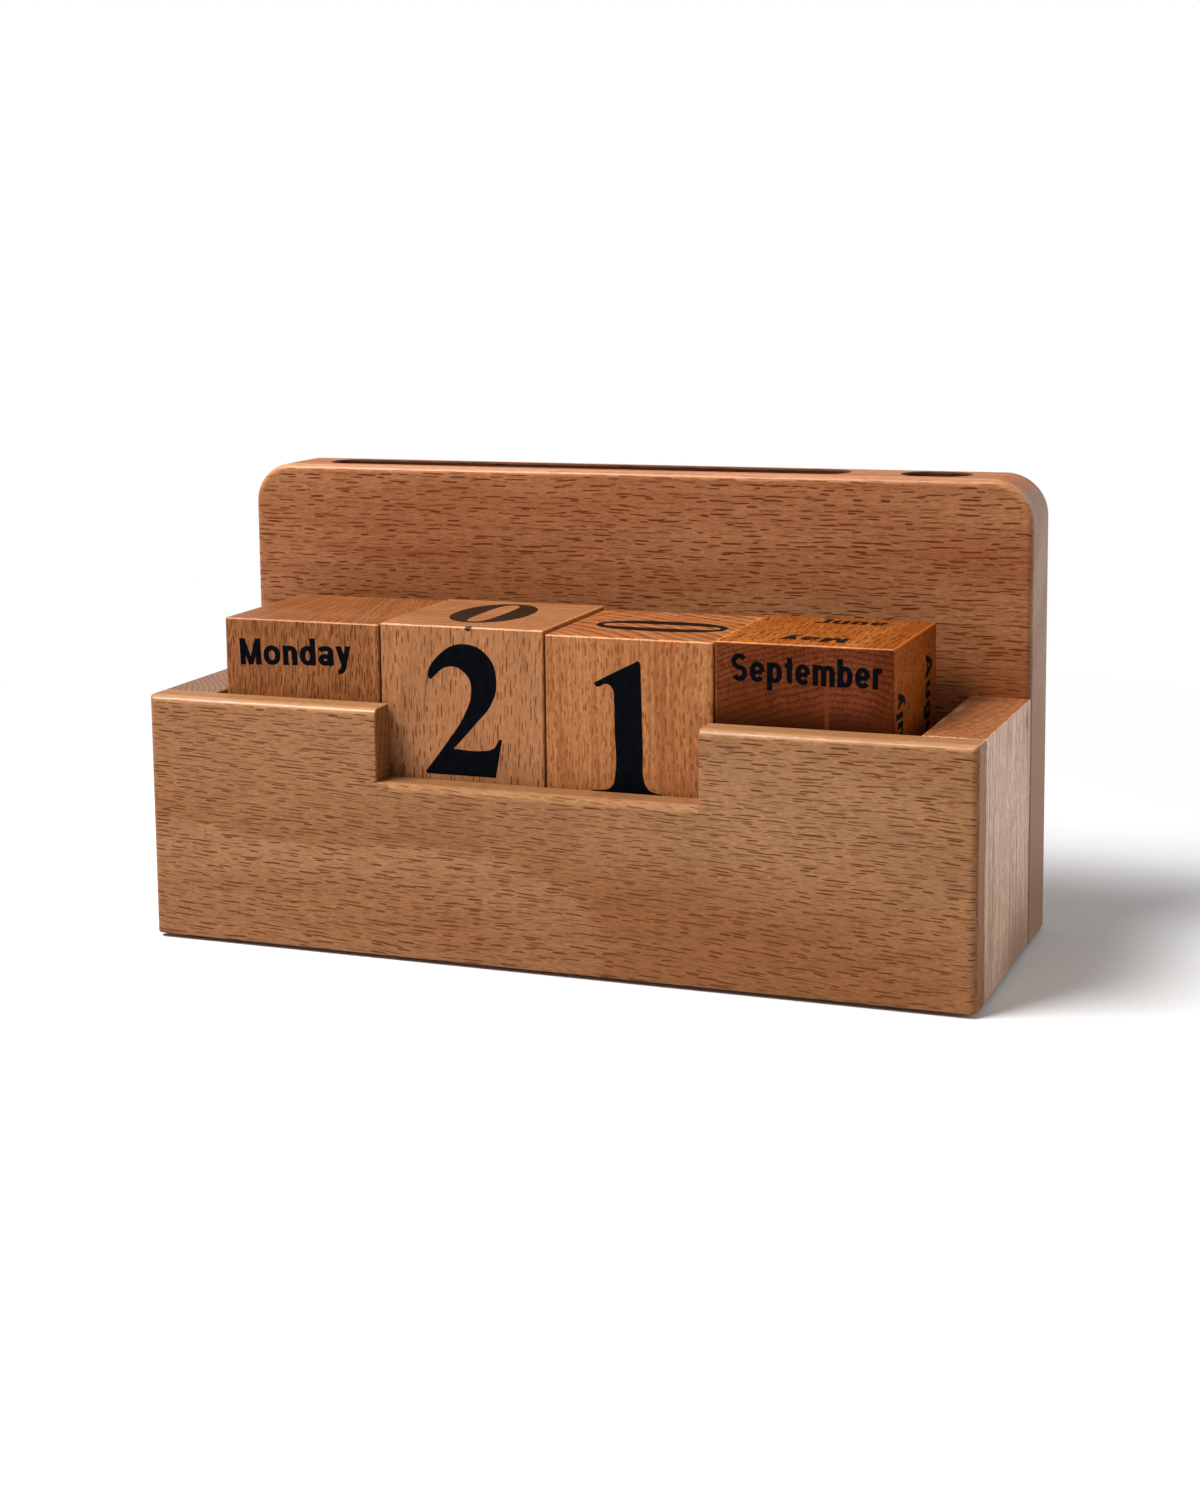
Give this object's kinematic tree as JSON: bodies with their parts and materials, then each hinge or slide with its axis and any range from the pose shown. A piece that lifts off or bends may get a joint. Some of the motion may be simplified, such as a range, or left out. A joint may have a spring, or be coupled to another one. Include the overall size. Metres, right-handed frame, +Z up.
{
  "type": "desk calendar",
  "caption": "Wooden block calendar for a desk: four lift-out cubes in a tray with a notched drawer front, and a tall rear block slotted for cards and pens.",
  "frame": {"origin": "on the table, under the middle of the width and depth", "axes": "+Z up, +X to the right as a reader faces the calendar, +Y towards the rear block"},
  "size_m": [0.2, 0.0776, 0.11],
  "materials": {
    "beech_rear": "satin lacquered beech",
    "beech_end": "satin lacquered beech",
    "beech_inner": "satin lacquered beech",
    "beech_peg": "satin lacquered beech",
    "beech_front": "satin lacquered beech",
    "weekday_wood": "satin lacquered beech",
    "tens_wood": "satin lacquered beech",
    "units_wood": "satin lacquered beech",
    "month_wood": "satin lacquered beech",
    "felt": "pressed felt"
  },
  "bodies": {
    "case": {"rear_block": "beech_rear", "side_block_left": "beech_end", "side_block_right": "beech_end", "calendar_deck": "beech_inner", "bottom_panel": "beech_inner", "rear_dowels_left": "beech_peg", "rear_dowels_right": "beech_peg", "stop_pins": "beech_peg", "felt_pads": "felt"},
    "drawer": {"drawer_front": "beech_front", "drawer_side_left": "beech_inner", "drawer_side_right": "beech_inner", "drawer_back": "beech_inner", "drawer_bottom": "beech_inner", "drawer_dowels_left": "beech_peg", "drawer_dowels_right": "beech_peg"},
    "weekday": {"weekday_cube": "weekday_wood"},
    "tens": {"tens_cube": "tens_wood"},
    "units": {"units_cube": "units_wood"},
    "month": {"month_cube": "month_wood"}
  },
  "joints": [
    {"name": "drawer_slide", "type": "slide", "parent": "case", "child": "drawer", "axis": [0, -1, 0], "range_m": [0, 0.036]},
    {"name": "weekday_lift", "type": "slide", "parent": "case", "child": "weekday", "axis": [0, 0, 1], "range_m": [0, 0.08]},
    {"name": "tens_lift", "type": "slide", "parent": "case", "child": "tens", "axis": [0, 0, 1], "range_m": [0, 0.08]},
    {"name": "units_lift", "type": "slide", "parent": "case", "child": "units", "axis": [0, 0, 1], "range_m": [0, 0.08]},
    {"name": "month_lift", "type": "slide", "parent": "case", "child": "month", "axis": [0, 0, 1], "range_m": [0, 0.08]}
  ]
}
